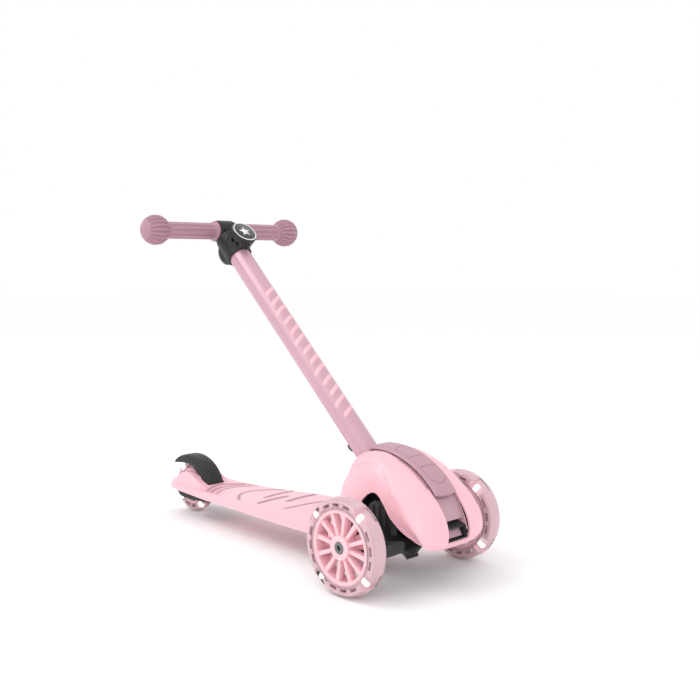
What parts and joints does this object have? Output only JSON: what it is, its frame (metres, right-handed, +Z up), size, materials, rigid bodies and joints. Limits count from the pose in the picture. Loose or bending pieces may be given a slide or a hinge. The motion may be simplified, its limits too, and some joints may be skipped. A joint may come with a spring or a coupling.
{
  "type": "kick scooter",
  "caption": "Small child's lean-to-steer kick scooter with a folding, height-adjustable stem, light-up wheels and a rear fender brake.",
  "frame": {"origin": "on the floor under the middle of the scooter, in its part-folded pose", "axes": "+Z up, the rider faces -Y, +X to the rider's left"},
  "size_m": [0.2828, 0.5835, 0.4636],
  "materials": {
    "pale_pink_shell": "satin moulded plastic",
    "mauve_inlay": "matte moulded plastic",
    "mauve_paint": "satin powder coat",
    "mauve_grip": "soft matte rubber",
    "black_nylon": "fine-textured nylon",
    "black_gloss": "gloss plastic",
    "white_print": "gloss inlay",
    "clear_tyre": "clear cast urethane",
    "led_white": "clear light block",
    "steel": "zinc-plated steel",
    "cast_alloy": "cast, bead blasted",
    "urethane": "solid urethane"
  },
  "bodies": {
    "deck": {"deck_shell": "pale_pink_shell", "deck_grip_inlays": "mauve_inlay", "front_cowl": "pale_pink_shell", "slot_panel": "mauve_inlay", "latch_box": "black_nylon", "latch_spring": "steel", "fold_bracket": "cast_alloy", "fold_pin": "steel", "kingpin": "steel", "kingpin_nut": "steel", "rear_cradle": "black_nylon", "rear_axle_bolt": "steel", "rear_axle_nut": "steel", "brake_pin": "steel", "brake_spring": "steel"},
    "latch": {"latch_tongue": "mauve_inlay"},
    "truck": {"axle_carrier": "black_nylon", "steering_bushes": "urethane", "front_axle_bolt_right": "steel", "front_axle_bolt_left": "steel"},
    "wheel_right": {"front_wheel_core_right": "pale_pink_shell", "front_tyre_right": "clear_tyre", "front_wheel_leds_right": "led_white", "front_bearings_right": "steel", "front_spacer_right": "steel"},
    "wheel_left": {"front_wheel_core_left": "pale_pink_shell", "front_tyre_left": "clear_tyre", "front_wheel_leds_left": "led_white", "front_bearings_left": "steel", "front_spacer_left": "steel"},
    "wheel_rear": {"rear_wheel_core": "pale_pink_shell", "rear_tyre": "clear_tyre", "rear_wheel_leds": "led_white", "rear_bearings": "steel", "rear_spacer": "steel"},
    "brake": {"brake_fender": "black_nylon", "brake_pad": "urethane"},
    "stem_base": {"stem_foot": "black_nylon", "inner_post": "steel", "post_rivet": "steel", "post_guide_bush": "black_nylon"},
    "shield": {"fold_shield": "mauve_inlay"},
    "stem": {"stem_tube": "mauve_paint", "tube_guide_bush": "black_nylon", "button_spring": "steel", "handlebar_clamp": "black_nylon", "clamp_screws": "steel", "badge_disc": "black_gloss", "badge_ring": "white_print", "handlebar_tube": "steel", "grip_right": "mauve_grip", "grip_left": "mauve_grip"},
    "button": {"height_button": "black_nylon"}
  },
  "joints": [
    {"name": "stem_fold", "type": "hinge", "parent": "deck", "child": "stem_base", "pos_m": [0, -0.1985, 0.0867], "axis": [1, 0, 0], "range_deg": [-38, 24]},
    {"name": "shield_slide", "type": "hinge", "parent": "deck", "child": "shield", "pos_m": [0, -0.1735, 0.04], "axis": [1, 0, 0], "range_deg": [-29, 18.5]},
    {"name": "stem_height", "type": "slide", "parent": "stem_base", "child": "stem", "axis": [0, 0.7206, 0.6934], "range_m": [0, 0.065]},
    {"name": "height_button_press", "type": "slide", "parent": "stem", "child": "button", "axis": [0, -0.6934, 0.7206], "range_m": [0, 0.0025], "stiffness_N_per_m": 900, "springref_m": -0.001, "deforming": ["button_spring"]},
    {"name": "latch_press", "type": "slide", "parent": "deck", "child": "latch", "axis": [0, 1, 0], "range_m": [0, 0.003], "stiffness_N_per_m": 900, "springref_m": -0.001, "deforming": ["latch_spring"]},
    {"name": "steering_lean", "type": "hinge", "parent": "deck", "child": "truck", "pos_m": [0, -0.2155, 0.047], "axis": [0, -0.6428, 0.766], "range_deg": [-15, 15], "stiffness_Nm_per_rad": 12, "deforming": ["steering_bushes"]},
    {"name": "front_wheel_right_spin", "type": "hinge", "parent": "truck", "child": "wheel_right", "pos_m": [0, -0.2035, 0.06], "axis": [1, 0, 0], "continuous": true},
    {"name": "front_wheel_left_spin", "type": "hinge", "parent": "truck", "child": "wheel_left", "pos_m": [0, -0.2035, 0.06], "axis": [1, 0, 0], "continuous": true},
    {"name": "rear_wheel_spin", "type": "hinge", "parent": "deck", "child": "wheel_rear", "pos_m": [0, 0.2535, 0.04], "axis": [1, 0, 0], "continuous": true},
    {"name": "brake_press", "type": "hinge", "parent": "deck", "child": "brake", "pos_m": [0, 0.2035, 0.0505], "axis": [1, 0, 0], "range_deg": [-5, 0], "stiffness_Nm_per_rad": 4, "springref_deg": 5.73, "deforming": ["brake_spring"]}
  ],
  "couplings": [
    {"joint": "shield_slide", "follows": "stem_fold", "ratio": 0.75}
  ]
}
